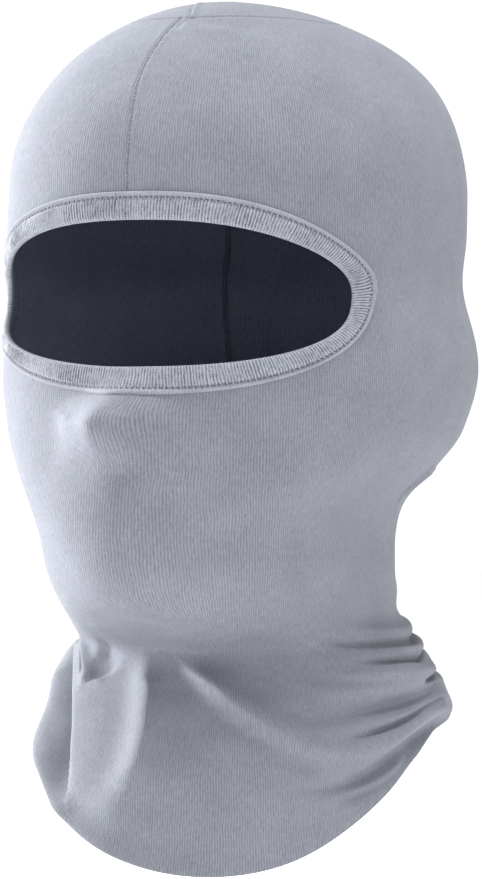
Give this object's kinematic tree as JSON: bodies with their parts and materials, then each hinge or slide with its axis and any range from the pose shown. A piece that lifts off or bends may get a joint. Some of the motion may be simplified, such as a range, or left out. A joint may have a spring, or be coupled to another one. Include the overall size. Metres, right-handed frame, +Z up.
{
  "type": "balaclava",
  "caption": "Close-fitting knitted hood with a neck skirt, covering head, face and neck, with a bound opening for the eyes.",
  "frame": {"origin": "middle of the wearer's head, midway between the ears at the level of the eye opening", "axes": "+Z up along the head and neck, the face looks along -Y, +X is the wearer's left"},
  "size_m": [0.16, 0.2175, 0.3075],
  "materials": {
    "knit": "fine lightweight stretch knit, cool light grey",
    "binding": "the same knit, folded, with its ribs across the strip",
    "seam_allowance": "serged raw edges of the knit",
    "thread": "fine polyester sewing thread, a shade darker than the knit"
  },
  "bodies": {
    "root": {"front_panel": "knit", "back_panel": "knit", "eye_binding": "binding", "binding_join_seam": "binding", "forehead_seam": "seam_allowance", "back_seam_left": "seam_allowance", "back_seam_right": "seam_allowance", "forehead_seam_thread": "thread", "back_seam_left_thread": "thread", "back_seam_right_thread": "thread", "binding_topstitch": "thread", "binding_looper_thread": "thread"}
  },
  "joints": []
}
